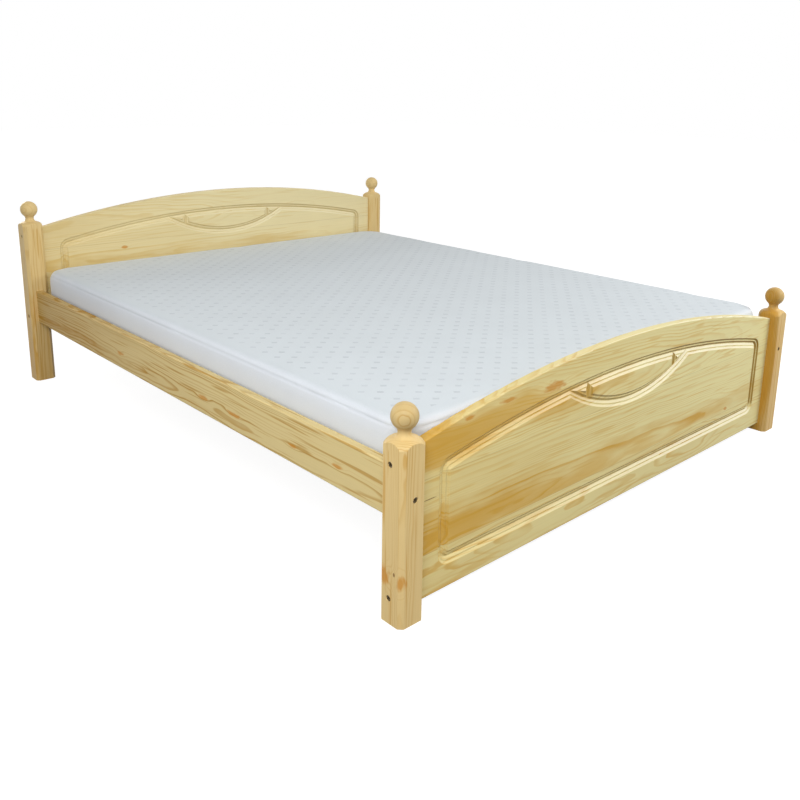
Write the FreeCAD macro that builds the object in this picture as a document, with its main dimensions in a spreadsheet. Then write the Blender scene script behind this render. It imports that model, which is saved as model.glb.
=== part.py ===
import FreeCAD, Part
import math
import os
import re
import Sketcher

# Double bed: pine posts with turned ball finials, arched panels with a routed frame line, side rails, slats
# and a mattress. The origin is on the floor, under the middle of the bed. +X is the right side seen from the
# foot, and +Y points to the head.

# Driving dimensions in millimetres
DIMENSIONS = {
    "bed_width": 1710,
    "bed_length": 2112,
    "post_side": 70,
    "post_chamfer": 10,
    "foot_ball_height": 457,
    "head_rise": 188,
    "ball_radius": 29.5,
    "ball_sweep": 50,
    "neck_curve": 13,
    "neck_sweep": 80,
    "shoulder_radius": 24,
    "turning_reach": 60,
    "turning_spare": 4,
    "panel_thickness": 25,
    "panel_setback": 26,
    "panel_floor_gap": 25,
    "panel_end_height": 365,
    "arch_rise": 91,
    "panel_arris": 4,
    "groove_side_inset": 76,
    "groove_bottom_inset": 72,
    "groove_top_inset": 86,
    "groove_corner_radius": 20,
    "groove_width": 32,
    "groove_ledge_depth": 4,
    "groove_ledge_width": 4,
    "groove_floor_width": 2,
    "groove_depth": 8,
    "eye_radius": 530,
    "eye_half_width": 275,
    "eye_drop": 173,
    "eye_end": 201,
    "rail_thickness": 25,
    "rail_height": 120,
    "rail_bottom": 225,
    "rail_setback": 24,
    "rail_arris": 4,
    "slat_count": 14,
    "slat_width": 90,
    "slat_thickness": 20,
    "slat_span": 1870,
    "slat_end_gap": 2,
    "slat_arris": 3,
    "ledger_width": 30,
    "ledger_height": 25,
    "ledger_end_gap": 6,
    "beam_width": 45,
    "beam_height": 60,
    "beam_end_gap": 1,
    "cleat_width": 125,
    "cleat_height": 80,
    "cleat_thickness": 28,
    "cleat_notch_gap": 0.5,
    "cleat_notch_floor": 20,
    "leg_side": 45,
    "leg_chamfer": 4,
    "mattress_width": 1600,
    "mattress_length": 2000,
    "mattress_thickness": 150,
    "mattress_gap": 0.5,
    "mattress_corner_radius": 62,
    "mattress_edge": 18,
    "mattress_draw_in": 5,
    "mattress_crown": 6,
    "crown_shoulder_rise": 4.2,
    "crown_shoulder_inset": 192,
    "crown_top_inset": 480,
    "cover_thickness": 12,
    "core_gap": 0.5,
    "core_corner_radius": 50,
    "bolt_diameter": 8,
    "bolt_length": 100,
    "bolt_head_diameter": 13,
    "bolt_head_height": 8,
    "bolt_socket_size": 6,
    "bolt_socket_depth": 4,
    "bolt_hole_diameter": 8.6,
    "bolt_hole_depth": 46,
    "counterbore_diameter": 14,
    "counterbore_depth": 10,
    "panel_bolt_low": 34,
    "panel_bolt_high": 335,
    "nut_diameter": 10,
    "nut_length": 17,
    "nut_bore": 8.4,
    "nut_setback": 33,
    "nut_hole_diameter": 10.4,
    "nut_hole_depth": 21.5,
    "dowel_diameter": 8,
    "dowel_length": 38,
    "dowel_chamfer": 1,
    "dowel_hole_diameter": 8.4,
    "dowel_hole_depth": 20,
    "panel_dowel_low": 130,
    "panel_dowel_high": 225,
    "rail_dowel_offset": 30,
    "screw_diameter": 4,
    "screw_head_diameter": 8,
    "screw_hole_diameter": 4.4,
    "screw_countersink": 9,
    "screw_head_angle": 90,
    "screw_point": 6,
    "short_screw_length": 38,
    "long_screw_length": 46,
    "cleat_screw_offset": 43,
    "cleat_screw_height": 62,
    "stud_diameter": 8,
    "stud_length": 80,
    "stud_hole_diameter": 8.4,
    "pilot_spare": 1,
}

# Distances that more than one piece shares, as formulas in the size names above
POST_X = "((bed_width - post_side) / 2)"
POST_Y = "((bed_length - post_side) / 2)"
RAIL_AXIS = "(bed_width / 2 - rail_setback - rail_thickness / 2)"
RAIL_INNER = "(bed_width / 2 - rail_setback - rail_thickness)"
RAIL_HALF = "(bed_length / 2 - post_side)"
RAIL_MIDDLE = "(rail_bottom + rail_height / 2)"
PANEL_AXIS = "(bed_length / 2 - panel_setback - panel_thickness / 2)"
PANEL_INNER = "(bed_length / 2 - panel_setback - panel_thickness)"
PANEL_HALF = "(bed_width / 2 - post_side)"
PANEL_PEAK = "(panel_end_height + arch_rise)"
ARCH_RADIUS = f"(({PANEL_HALF} ^ 2 + arch_rise ^ 2) / (2 * arch_rise))"
ARCH_CENTRE = f"({PANEL_PEAK} - {ARCH_RADIUS})"
ARCH_LINE = f"({ARCH_RADIUS} - groove_top_inset)"
EYE_LOW = f"({PANEL_PEAK} - eye_drop)"
LEDGER_AXIS = f"({RAIL_INNER} - ledger_width / 2)"
LEDGER_TOP = "(rail_bottom + ledger_height)"
SLAT_TOP = f"({LEDGER_TOP} + slat_thickness)"
BEAM_BOTTOM = f"({LEDGER_TOP} - beam_height)"
CLEAT_SCREW_Z = f"({BEAM_BOTTOM} - cleat_notch_floor + cleat_screw_height)"
BOLT_SEAT = "(post_side / 2 - counterbore_depth)"

LEFT, RIGHT = "(-1)", "1"
FOOT, HEAD = "(-1)", "1"
SIDES = {"left": LEFT, "right": RIGHT}
ENDS = {"foot": FOOT, "head": HEAD}
RISES = {FOOT: "0", HEAD: "head_rise"}

doc = FreeCAD.newDocument("double_bed")
sheet = doc.addObject("Spreadsheet::Sheet", "Sizes")
for row, (word, number) in enumerate(DIMENSIONS.items(), start=1):
    sheet.set(f"B{row}", str(number))
    sheet.setAlias(f"B{row}", word)
doc.recompute()

parts = []
STRAIGHT = 0.999


def bound(words):
    """Turn a formula in size names into one that reads the spreadsheet."""
    def cell(found):
        word = found.group()
        return f"Sizes.{word}" if word in DIMENSIONS else word
    return re.sub(r"[a-z_]+", cell, words)


def value(words):
    """The number that a formula gives."""
    return float(sheet.evalExpression(bound(words)))


def bind(item, name, words):
    item.setExpression(name, bound(words))


def place(piece, x="0", y="0", z="0"):
    for axis, words in zip("xyz", (x, y, z)):
        bind(piece, f"Placement.Base.{axis}", words)


def new_piece(label, kind="PartDesign::Body", kept=True):
    """A piece of the bed, or a pattern that pieces are copied from where it isn't kept."""
    piece = doc.addObject(kind, label)
    piece.Label = label
    if kept:
        parts.append(piece)
    return piece


# Sketches

def sketch_on(body, plane, name, height="0"):
    """A sketch on one of the body's own planes, moved along the plane's normal by a height."""
    sketch = body.newObject("Sketcher::SketchObject", name)
    support = next(item for item in body.Origin.OriginFeatures if item.Role == plane)
    sketch.AttachmentSupport = [(support, "")]
    sketch.MapMode = "FlatFace"
    bind(sketch, "AttachmentOffset.Base.z", height)
    return sketch


def fix(sketch, words, kind, *where):
    """Add a dimension that follows a formula."""
    number = sketch.addConstraint(Sketcher.Constraint(kind, *where, value(words)))
    bind(sketch, f"Constraints[{number}]", words)


def arc_between(first, last, radius, turn):
    """The arc under a half circle from first to last. turn is 1 for a bend to the left, -1 to the right."""
    chord = last - first
    left = FreeCAD.Vector(-chord.y, chord.x, 0) / chord.Length
    centre = (first + last) / 2 + left * turn * math.sqrt(radius ** 2 - (chord.Length / 2) ** 2)
    start, stop = (first, last) if turn > 0 else (last, first)
    angles = [math.atan2(point.y - centre.y, point.x - centre.x) for point in (start, stop)]
    return Part.ArcOfCircle(Part.Circle(centre, FreeCAD.Vector(0, 0, 1), radius), *angles)


def outline(sketch, corners, arcs=None, closed=True):
    """Draw through corners given as formulas. arcs holds (radius, turn) by the corner that starts the arc."""
    arcs = arcs or {}
    points = [FreeCAD.Vector(value(x), value(y), 0) for x, y in corners]
    count = len(points) if closed else len(points) - 1
    ends = []
    for index in range(count):
        first, last = points[index], points[(index + 1) % len(points)]
        if index in arcs:
            radius, turn = arcs[index]
            sketch.addGeometry(arc_between(first, last, value(radius), turn), False)
            ends.append((1, 2) if turn > 0 else (2, 1))
        else:
            sketch.addGeometry(Part.LineSegment(first, last), False)
            ends.append((1, 2))
    for index in range(count if closed else count - 1):
        follower = (index + 1) % count
        joined = (index, ends[index][1], follower, ends[follower][0])
        sketch.addConstraint(Sketcher.Constraint("Coincident", *joined))
    for index, (x, y) in enumerate(corners):
        line, end = (index, ends[index][0]) if index < count else (index - 1, ends[index - 1][1])
        fix(sketch, x, "DistanceX", -1, 1, line, end)
        fix(sketch, y, "DistanceY", -1, 1, line, end)
    for index, (radius, turn) in arcs.items():
        fix(sketch, radius, "Radius", index)
    return sketch


def rectangle(sketch, width, height, y="0"):
    """A rectangle about the point 0, y."""
    half, rise = f"({width}) / 2", f"({height}) / 2"
    return outline(sketch, [(f"-{half}", f"{y} - {rise}"), (half, f"{y} - {rise}"),
                            (half, f"{y} + {rise}"), (f"-{half}", f"{y} + {rise}")])


def rounded_rectangle(sketch, width, height, radius):
    """A rectangle about the origin with round corners."""
    half, rise = f"({width}) / 2", f"({height}) / 2"
    short, low = f"({half} - {radius})", f"({rise} - {radius})"
    corners = [(f"-{short}", f"-{rise}"), (short, f"-{rise}"), (half, f"-{low}"), (half, low),
               (short, rise), (f"-{short}", rise), (f"-{half}", low), (f"-{half}", f"-{low}")]
    return outline(sketch, corners, {index: (radius, 1) for index in (1, 3, 5, 7)})


def circles(sketch, centres, diameter):
    for index, (x, y) in enumerate(centres):
        middle = FreeCAD.Vector(value(x), value(y), 0)
        sketch.addGeometry(Part.Circle(middle, FreeCAD.Vector(0, 0, 1), value(diameter) / 2), False)
        fix(sketch, diameter, "Diameter", index)
        fix(sketch, x, "DistanceX", -1, 1, index, 3)
        fix(sketch, y, "DistanceY", -1, 1, index, 3)
    return sketch


# Features

def pad(body, sketch, length, backwards=False, middle=False):
    feature = body.newObject("PartDesign::Pad", sketch.Name + "_pad")
    feature.Profile = sketch
    feature.Reversed = backwards
    feature.SideType = "Symmetric" if middle else "One side"
    bind(feature, "Length", length)
    return feature


def revolve(body, sketch, kind):
    """Turn a sketch about its own vertical axis, as a Revolution that adds or a Groove that cuts."""
    feature = body.newObject("PartDesign::" + kind, sketch.Name + "_turn")
    feature.Profile = sketch
    feature.ReferenceAxis = (sketch, ["V_Axis"])
    feature.Angle = 360
    return feature


def ease(body, kind, size, chosen):
    """Fillet or chamfer the body's edges that chosen picks."""
    doc.recompute()
    base = body.Tip
    feature = body.newObject("PartDesign::" + kind, body.Name + "_" + kind.lower())
    edges = [f"Edge{index}" for index, edge in enumerate(base.Shape.Edges, start=1) if chosen(edge)]
    feature.Base = (base, edges)
    bind(feature, "Radius" if kind == "Fillet" else "Size", size)
    return feature


def runs_along(axis):
    """Pick the straight edges that run along an axis."""
    def chosen(edge):
        if not isinstance(edge.Curve, Part.Line):
            return False
        return abs(edge.tangentAt(edge.FirstParameter)[axis]) > STRAIGHT
    return chosen


def cutting(body, make):
    """Make a cutting feature and stop where it takes nothing away."""
    doc.recompute()
    before = body.Shape.Volume
    feature = make()
    doc.recompute()
    if body.Shape.Volume >= before or not body.Shape.isValid():
        raise RuntimeError(f"{body.Label}: {feature.Name} cuts nothing")
    return feature


def drill(body, name, plane, height, centres, diameter, depth=None, forward=False, bore=None, sink=None):
    """Holes from a plane against its normal, or along it where forward, to a depth or through.

    bore is the diameter of a counterbore at the top, and sink that of a countersink.
    """
    def make():
        hole = body.newObject("PartDesign::Hole", name + "_hole")
        hole.Profile = sketch
        hole.Reversed = forward
        hole.ThreadType = "None"
        hole.DrillPoint = "Flat"
        hole.DepthType = "Dimension" if depth else "ThroughAll"
        bind(hole, "Diameter", diameter)
        if depth:
            bind(hole, "Depth", depth)
        if bore or sink:
            hole.HoleCutType = "Counterbore" if bore else "Countersink"
            hole.HoleCutCustomValues = True
            bind(hole, "HoleCutDiameter", bore or sink)
        if bore:
            bind(hole, "HoleCutDepth", "counterbore_depth")
        if sink:
            bind(hole, "HoleCutCountersinkAngle", "screw_head_angle")
        return hole
    sketch = circles(sketch_on(body, plane, name, height), centres, diameter)
    return cutting(body, make)


# Posts

def post(label, side, end):
    """A chamfered post with a ball finial turned on its top, drilled for the panel and rail that it joins."""
    body = new_piece(label)
    ball = f"(foot_ball_height + {RISES[end]})"
    top = f"({ball} + ball_radius)"
    section = rectangle(sketch_on(body, "XY_Plane", "section"), "post_side", "post_side")
    pad(body, section, f"{top} + turning_spare")
    ease(body, "Chamfer", "post_chamfer", runs_along(2))
    reach = "(ball_radius + neck_curve)"
    neck_end = f"({reach} * cos(ball_sweep) - neck_curve * cos(neck_sweep))"
    neck_foot = f"({ball} - {reach} * sin(ball_sweep) - neck_curve * sin(neck_sweep))"
    shoulder_foot = f"({neck_foot} - shoulder_radius * sin(neck_sweep))"
    turning = outline(sketch_on(body, "XZ_Plane", "finial"), [
        ("0", top),
        ("ball_radius * cos(ball_sweep)", f"{ball} - ball_radius * sin(ball_sweep)"),
        (neck_end, neck_foot),
        (f"{neck_end} + shoulder_radius * (1 - cos(neck_sweep))", shoulder_foot),
        ("turning_reach", shoulder_foot),
        ("turning_reach", f"{top} + turning_reach"),
        ("0", f"{top} + turning_reach"),
    ], {0: ("ball_radius", -1), 1: ("neck_curve", 1), 2: ("shoulder_radius", -1)})
    cutting(body, lambda: revolve(body, turning, "Groove"))

    panel_y = f"{end} * (post_side / 2 - panel_setback - panel_thickness / 2)"
    rail_x = f"{side} * (post_side / 2 - rail_setback - rail_thickness / 2)"
    base = f"panel_floor_gap + {RISES[end]}"
    bolts = [(panel_y, f"{base} + {level}") for level in ("panel_bolt_low", "panel_bolt_high")]
    dowels = [(panel_y, f"{base} + {level}") for level in ("panel_dowel_low", "panel_dowel_high")]
    drill(body, "panel_bolt", "YZ_Plane", f"{side} * post_side / 2", bolts, "bolt_hole_diameter",
          forward=side == LEFT, bore="counterbore_diameter")
    drill(body, "panel_dowel", "YZ_Plane", f"-{side} * post_side / 2", dowels, "dowel_hole_diameter",
          "dowel_hole_depth", forward=side == RIGHT)
    drill(body, "rail_bolt", "XZ_Plane", f"-{end} * post_side / 2", [(rail_x, RAIL_MIDDLE)],
          "bolt_hole_diameter", forward=end == HEAD, bore="counterbore_diameter")
    drill(body, "rail_dowel", "XZ_Plane", f"{end} * post_side / 2",
          [(rail_x, f"{RAIL_MIDDLE} + {sign} * rail_dowel_offset") for sign in ("(-1)", "1")],
          "dowel_hole_diameter", "dowel_hole_depth", forward=end == FOOT)
    place(body, f"{side} * {POST_X}", f"{end} * {POST_Y}")


# Panels

def frame_line(sketch):
    """The closed centre line of the routed frame: three straight sides, an arched top and round corners."""
    side = f"({PANEL_HALF} - groove_side_inset)"
    bend = f"({side} - groove_corner_radius)"
    low = "(groove_bottom_inset + groove_corner_radius)"
    rise = f"sqrt(({ARCH_LINE} - groove_corner_radius) ^ 2 - {bend} ^ 2)"
    high = f"({ARCH_CENTRE} + {rise})"
    lean = f"({ARCH_LINE} / ({ARCH_LINE} - groove_corner_radius))"
    shoulder = f"({ARCH_CENTRE} + {rise} * {lean})"
    right = [("0", "groove_bottom_inset"), (bend, "groove_bottom_inset"), (side, low), (side, high),
             (f"{bend} * {lean}", shoulder)]
    left = [(f"-{x}", y) for x, y in reversed(right[1:])]
    corner = ("groove_corner_radius", 1)
    return outline(sketch, right + left, {1: corner, 3: corner, 4: (ARCH_LINE, 1), 5: corner, 7: corner})


def eye_height(reach):
    """The height of the eye's lower arc at a distance from the middle of the panel."""
    return f"({EYE_LOW} + eye_radius - sqrt(eye_radius ^ 2 - {reach} ^ 2))"


def eye_line(sketch):
    """The lower arc of the eye under the arched top. Its ends run into the frame line."""
    end = eye_height("eye_half_width")
    corners = [("-eye_half_width", end), ("eye_half_width", end)]
    return outline(sketch, corners, {0: ("eye_radius", 1)}, closed=False)


def groove_section(middle):
    """The stepped section of the router cut, as depths and places across the groove.

    A bevel goes down to a ledge, and a second one to a narrow floor.
    """
    half, floor = "groove_width / 2", "groove_floor_width / 2"
    bevel = f"({half} - {floor} - groove_ledge_width) / 2"
    steps = [("-groove_depth", half), ("0", half), ("groove_ledge_depth", f"({half} - {bevel})"),
             ("groove_ledge_depth", f"({floor} + {bevel})"), ("groove_depth", floor)]
    upper = [(depth, f"{middle} + {offset}") for depth, offset in steps]
    lower = [(depth, f"{middle} - {offset}") for depth, offset in reversed(steps)]
    return upper + lower


def rout(body, name, path, middle):
    """Cut the stepped groove along a path on the front face."""
    section = outline(sketch_on(body, "YZ_Plane", name + "_section"), groove_section(middle))

    def make():
        pipe = body.newObject("PartDesign::SubtractivePipe", name + "_groove")
        pipe.Profile = section
        pipe.Spine = path
        return pipe
    return cutting(body, make)


def rout_eye_end(body, name, side):
    """Cut the pointed end of the field inside the eye off square, from the eye's line up to the arched line."""
    low = eye_height("eye_end")
    high = f"({ARCH_CENTRE} + sqrt({ARCH_LINE} ^ 2 - eye_end ^ 2))"
    corners = [(offset, depth) for depth, offset in groove_section(f"{side} * eye_end")]
    section = outline(sketch_on(body, "XY_Plane", name + "_eye_end", low), corners)

    def make():
        pocket = body.newObject("PartDesign::Pocket", name + "_eye_end_cut")
        pocket.Profile = section
        pocket.Reversed = True
        bind(pocket, "Length", f"{high} - {low}")
        return pocket
    return cutting(body, make)


def panel(label, end):
    """An arched panel of edge-glued boards, routed on the face that looks to the foot."""
    body = new_piece(label)
    corners = [(f"-{PANEL_HALF}", "0"), (PANEL_HALF, "0"), (PANEL_HALF, "panel_end_height"),
               (f"-{PANEL_HALF}", "panel_end_height")]
    board = outline(sketch_on(body, "XZ_Plane", "board"), corners, {2: (ARCH_RADIUS, 1)})
    pad(body, board, "panel_thickness", backwards=True)
    ease(body, "Fillet", "panel_arris", lambda edge: edge.Length > value(PANEL_HALF))
    rout(body, "frame", frame_line(sketch_on(body, "XZ_Plane", "frame_path")), "groove_bottom_inset")
    rout(body, "eye", eye_line(sketch_on(body, "XZ_Plane", "eye_path")), EYE_LOW)
    for word, side in SIDES.items():
        rout_eye_end(body, word, side)

    middle = "panel_thickness / 2"
    for side in SIDES.values():
        edge = f"{side} * {PANEL_HALF}"
        drill(body, "bolt", "YZ_Plane", edge, [(middle, "panel_bolt_low"), (middle, "panel_bolt_high")],
              "bolt_hole_diameter", "bolt_hole_depth", forward=side == LEFT)
        drill(body, "dowel", "YZ_Plane", edge, [(middle, "panel_dowel_low"), (middle, "panel_dowel_high")],
              "dowel_hole_diameter", "dowel_hole_depth", forward=side == LEFT)
    nuts = [(f"{side} * ({PANEL_HALF} - nut_setback)", level)
            for side in SIDES.values() for level in ("panel_bolt_low", "panel_bolt_high")]
    drill(body, "nut", "XZ_Plane", "-panel_thickness", nuts, "nut_hole_diameter", "nut_hole_depth",
          forward=True)
    base = f"(panel_floor_gap + {RISES[end]})"
    pilots = [(f"{side} * cleat_screw_offset", f"{CLEAT_SCREW_Z} - {base}") for side in SIDES.values()]
    inner_face = "0" if end == HEAD else "-panel_thickness"
    drill(body, "cleat_pilot", "XZ_Plane", inner_face, pilots, "screw_hole_diameter",
          "long_screw_length - cleat_thickness + pilot_spare", forward=end == FOOT)
    place(body, y=f"{end} * {PANEL_AXIS} - panel_thickness / 2", z=base)


# Rails, ledger strips and slats

def spread(index, count, span):
    """The place of one of several things set evenly along a span about the middle."""
    return f"({index} / ({count} - 1) - 0.5) * {span}"


SLATS = DIMENSIONS["slat_count"]
SLAT_PLACES = [spread(index, "slat_count", "slat_span") for index in range(SLATS)]
# The ledger screws lie midway between two slats, in every second gap
LEDGER_SCREWS = [spread(gap + 0.5, "slat_count", "slat_span") for gap in range(0, SLATS - 1, 2)]


def rail(label, side):
    """A side rail with eased arrises, drilled for its end bolts and, on its inner face, the ledger screws."""
    body = new_piece(label)
    section = rectangle(sketch_on(body, "XZ_Plane", "section"), "rail_thickness", "rail_height", RAIL_MIDDLE)
    pad(body, section, f"2 * {RAIL_HALF}", middle=True)
    ease(body, "Fillet", "rail_arris", runs_along(1))
    for end in ENDS.values():
        face = f"-{end} * {RAIL_HALF}"
        drill(body, "bolt", "XZ_Plane", face, [("0", RAIL_MIDDLE)], "bolt_hole_diameter", "bolt_hole_depth",
              forward=end == HEAD)
        drill(body, "dowel", "XZ_Plane", face,
              [("0", f"{RAIL_MIDDLE} + {sign} * rail_dowel_offset") for sign in ("(-1)", "1")],
              "dowel_hole_diameter", "dowel_hole_depth", forward=end == HEAD)
    inner = f"-{side} * rail_thickness / 2"
    nuts = [(f"{end} * ({RAIL_HALF} - nut_setback)", RAIL_MIDDLE) for end in ENDS.values()]
    drill(body, "nut", "YZ_Plane", inner, nuts, "nut_hole_diameter", "nut_hole_depth", forward=side == RIGHT)
    pilots = [(y, "rail_bottom + ledger_height / 2") for y in LEDGER_SCREWS]
    drill(body, "ledger_pilot", "YZ_Plane", inner, pilots, "screw_hole_diameter",
          "long_screw_length - ledger_width + pilot_spare", forward=side == RIGHT)
    place(body, x=f"{side} * {RAIL_AXIS}")


def ledger(label, side):
    """The strip along the foot of a rail that the slats lie on."""
    body = new_piece(label)
    section = rectangle(sketch_on(body, "XZ_Plane", "section"), "ledger_width", "ledger_height",
                        "(rail_bottom + ledger_height / 2)")
    pad(body, section, f"2 * ({RAIL_HALF} - ledger_end_gap)", middle=True)
    drill(body, "screw", "YZ_Plane", f"-{side} * ledger_width / 2",
          [(y, "rail_bottom + ledger_height / 2") for y in LEDGER_SCREWS], "screw_hole_diameter",
          forward=side == RIGHT, sink="screw_countersink")
    drill(body, "slat_pilot", "XY_Plane", LEDGER_TOP, [("0", y) for y in SLAT_PLACES], "screw_hole_diameter",
          "short_screw_length - slat_thickness + pilot_spare")
    place(body, x=f"{side} * {LEDGER_AXIS}")


def slat(label, y):
    body = new_piece(label)
    section = rectangle(sketch_on(body, "YZ_Plane", "section"), "slat_width", "slat_thickness",
                        f"({SLAT_TOP} - slat_thickness / 2)")
    pad(body, section, f"2 * ({RAIL_INNER} - slat_end_gap)", middle=True)
    ease(body, "Fillet", "slat_arris", runs_along(0))
    drill(body, "screw", "XY_Plane", SLAT_TOP, [(f"{side} * {LEDGER_AXIS}", "0") for side in SIDES.values()],
          "screw_hole_diameter", sink="screw_countersink")
    place(body, y=y)


# Centre support

def center_beam():
    body = new_piece("center_beam")
    section = rectangle(sketch_on(body, "XZ_Plane", "section"), "beam_width", "beam_height",
                        f"({BEAM_BOTTOM} + beam_height / 2)")
    pad(body, section, f"2 * ({PANEL_INNER} - beam_end_gap)", middle=True)
    drill(body, "stud", "XY_Plane", BEAM_BOTTOM, [("0", "0")], "stud_hole_diameter",
          "stud_length / 2 + pilot_spare", forward=True)


def cleat(label, end):
    """A notched block on the inside of a panel that carries one end of the beam."""
    body = new_piece(label)
    half, notch = "cleat_width / 2", "(beam_width / 2 + cleat_notch_gap)"
    low = f"({BEAM_BOTTOM} - cleat_notch_floor)"
    top = f"({low} + cleat_height)"
    block = outline(sketch_on(body, "XZ_Plane", "block"), [
        (f"-{half}", low), (half, low), (half, top), (notch, top), (notch, BEAM_BOTTOM),
        (f"-{notch}", BEAM_BOTTOM), (f"-{notch}", top), (f"-{half}", top)])
    pad(body, block, "cleat_thickness", middle=True)
    screws = [(f"{side} * cleat_screw_offset", CLEAT_SCREW_Z) for side in SIDES.values()]
    drill(body, "screw", "XZ_Plane", f"{end} * cleat_thickness / 2", screws, "screw_hole_diameter",
          forward=end == FOOT, sink="screw_countersink")
    place(body, y=f"{end} * ({PANEL_INNER} - cleat_thickness / 2)")


def center_leg():
    body = new_piece("center_leg")
    pad(body, rectangle(sketch_on(body, "XY_Plane", "section"), "leg_side", "leg_side"), BEAM_BOTTOM)
    ease(body, "Chamfer", "leg_chamfer", runs_along(2))
    drill(body, "stud", "XY_Plane", BEAM_BOTTOM, [("0", "0")], "stud_hole_diameter",
          "stud_length / 2 + pilot_spare")
    stud = new_piece("leg_stud", "Part::Cylinder")
    bind(stud, "Radius", "stud_diameter / 2")
    bind(stud, "Height", "stud_length")
    place(stud, z=f"{BEAM_BOTTOM} - stud_length / 2")


# Mattress

def mattress():
    """A knitted cover with a crowned top, round edges and sides drawn in between them, over a foam core."""
    cover = new_piece("mattress_cover")
    bevel = "mattress_edge * (1 - cos(45))"
    levels = [
        ("0", "mattress_edge"),
        (bevel, bevel),
        ("mattress_edge", "0"),
        ("mattress_thickness / 2", "mattress_draw_in"),
        ("mattress_thickness - mattress_edge", "0"),
        (f"mattress_thickness - {bevel}", bevel),
        ("mattress_thickness", "mattress_edge"),
        ("mattress_thickness + crown_shoulder_rise", "crown_shoulder_inset"),
        ("mattress_thickness + mattress_crown", "crown_top_inset"),
    ]
    sections = []
    for height, inset in levels:
        level = sketch_on(cover, "XY_Plane", "level", height)
        width, length = f"mattress_width - 2 * {inset}", f"mattress_length - 2 * {inset}"
        sections.append(rounded_rectangle(level, width, length, "mattress_corner_radius"))
    loft = cover.newObject("PartDesign::AdditiveLoft", "cushion")
    loft.Profile = sections[0]
    loft.Sections = sections[1:]
    loft.Ruled = True
    hollow = rounded_rectangle(sketch_on(cover, "XY_Plane", "hollow", "cover_thickness"),
                               "mattress_width - 2 * cover_thickness",
                               "mattress_length - 2 * cover_thickness", "core_corner_radius")

    def make():
        pocket = cover.newObject("PartDesign::Pocket", "core_space")
        pocket.Profile = hollow
        pocket.Reversed = True
        bind(pocket, "Length", "mattress_thickness - 2 * cover_thickness")
        return pocket
    cutting(cover, make)
    place(cover, z=f"{SLAT_TOP} + mattress_gap")

    core = new_piece("mattress_core")
    inset = "2 * (cover_thickness + core_gap)"
    block = rounded_rectangle(sketch_on(core, "XY_Plane", "block"), f"mattress_width - {inset}",
                              f"mattress_length - {inset}", "core_corner_radius")
    pad(core, block, f"mattress_thickness - {inset}")
    place(core, z=f"{SLAT_TOP} + mattress_gap + cover_thickness + core_gap")


# Fasteners, each drawn once with its axis along +Z and copied to its places

def bolt_pattern():
    """A socket-head bolt. Its head seats at the origin."""
    body = new_piece("bolt_pattern", kept=False)
    head, shank = "bolt_head_diameter / 2", "bolt_diameter / 2"
    profile = outline(sketch_on(body, "XZ_Plane", "profile"), [
        ("0", "-bolt_head_height"), (head, "-bolt_head_height"), (head, "0"), (shank, "0"),
        (shank, "bolt_length"), ("0", "bolt_length")])
    revolve(body, profile, "Revolution")
    reach = "bolt_socket_size / (2 * cos(30))"
    turns = [f"({corner} * 60)" for corner in range(6)]
    hexagon = outline(sketch_on(body, "XY_Plane", "socket", "-bolt_head_height"),
                      [(f"{reach} * cos({turn})", f"{reach} * sin({turn})") for turn in turns])

    def make():
        pocket = body.newObject("PartDesign::Pocket", "hex_socket")
        pocket.Profile = hexagon
        pocket.Reversed = True
        bind(pocket, "Length", "bolt_socket_depth")
        return pocket
    cutting(body, make)
    return body


def screw_pattern(label, length):
    """A countersunk screw. The top of its head lies at the origin."""
    body = new_piece(label, kept=False)
    head, shank = "screw_head_diameter / 2", "screw_diameter / 2"
    profile = outline(sketch_on(body, "XZ_Plane", "profile"), [
        ("0", "0"), (head, "0"), (shank, f"{head} - {shank}"), (shank, f"{length} - screw_point"),
        ("0", length)])
    revolve(body, profile, "Revolution")
    return body


def dowel_pattern():
    body = new_piece("dowel_pattern", kept=False)
    wide, half = "dowel_diameter / 2", "dowel_length / 2"
    narrow = f"{wide} - dowel_chamfer"
    profile = outline(sketch_on(body, "XZ_Plane", "profile"), [
        ("0", f"-{half}"), (narrow, f"-{half}"), (wide, f"-{half} + dowel_chamfer"),
        (wide, f"{half} - dowel_chamfer"), (narrow, half), ("0", half)])
    revolve(body, profile, "Revolution")
    return body


def nut_pattern():
    """A barrel nut with its cross bore along X."""
    barrel = doc.addObject("Part::Cylinder", "nut_barrel")
    bind(barrel, "Radius", "nut_diameter / 2")
    bind(barrel, "Height", "nut_length")
    place(barrel, z="-nut_length / 2")
    bore = doc.addObject("Part::Cylinder", "nut_cross_bore")
    bind(bore, "Radius", "nut_bore / 2")
    bind(bore, "Height", "2 * nut_diameter")
    bore.Placement.Rotation = FreeCAD.Rotation(FreeCAD.Vector(0, 1, 0), 90)
    place(bore, x="-nut_diameter")
    nut = new_piece("nut_pattern", "Part::Cut", kept=False)
    nut.Base = barrel
    nut.Tool = bore
    return nut


def group(label, pattern, spots, cross=None):
    """Copies of a fastener at places given as formulas, turned from +Z to a direction.

    cross, where given, is the direction that the fastener's own +X turns to.
    """
    doc.recompute()
    copies = []
    for place_words, direction in spots:
        spot = FreeCAD.Vector(*[value(words) for words in place_words])
        axis = FreeCAD.Vector(*direction)
        turn = FreeCAD.Rotation(FreeCAD.Vector(0, 0, 1), axis)
        if cross:
            turn = FreeCAD.Rotation(FreeCAD.Vector(*cross), FreeCAD.Vector(), axis, "ZXY")
        copy = pattern.Shape.copy()
        copy.Placement = FreeCAD.Placement(spot, turn)
        copies.append(copy)
    piece = new_piece(label, "Part::Feature")
    piece.Shape = Part.makeCompound(copies)
    piece.Placement = FreeCAD.Placement()


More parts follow.
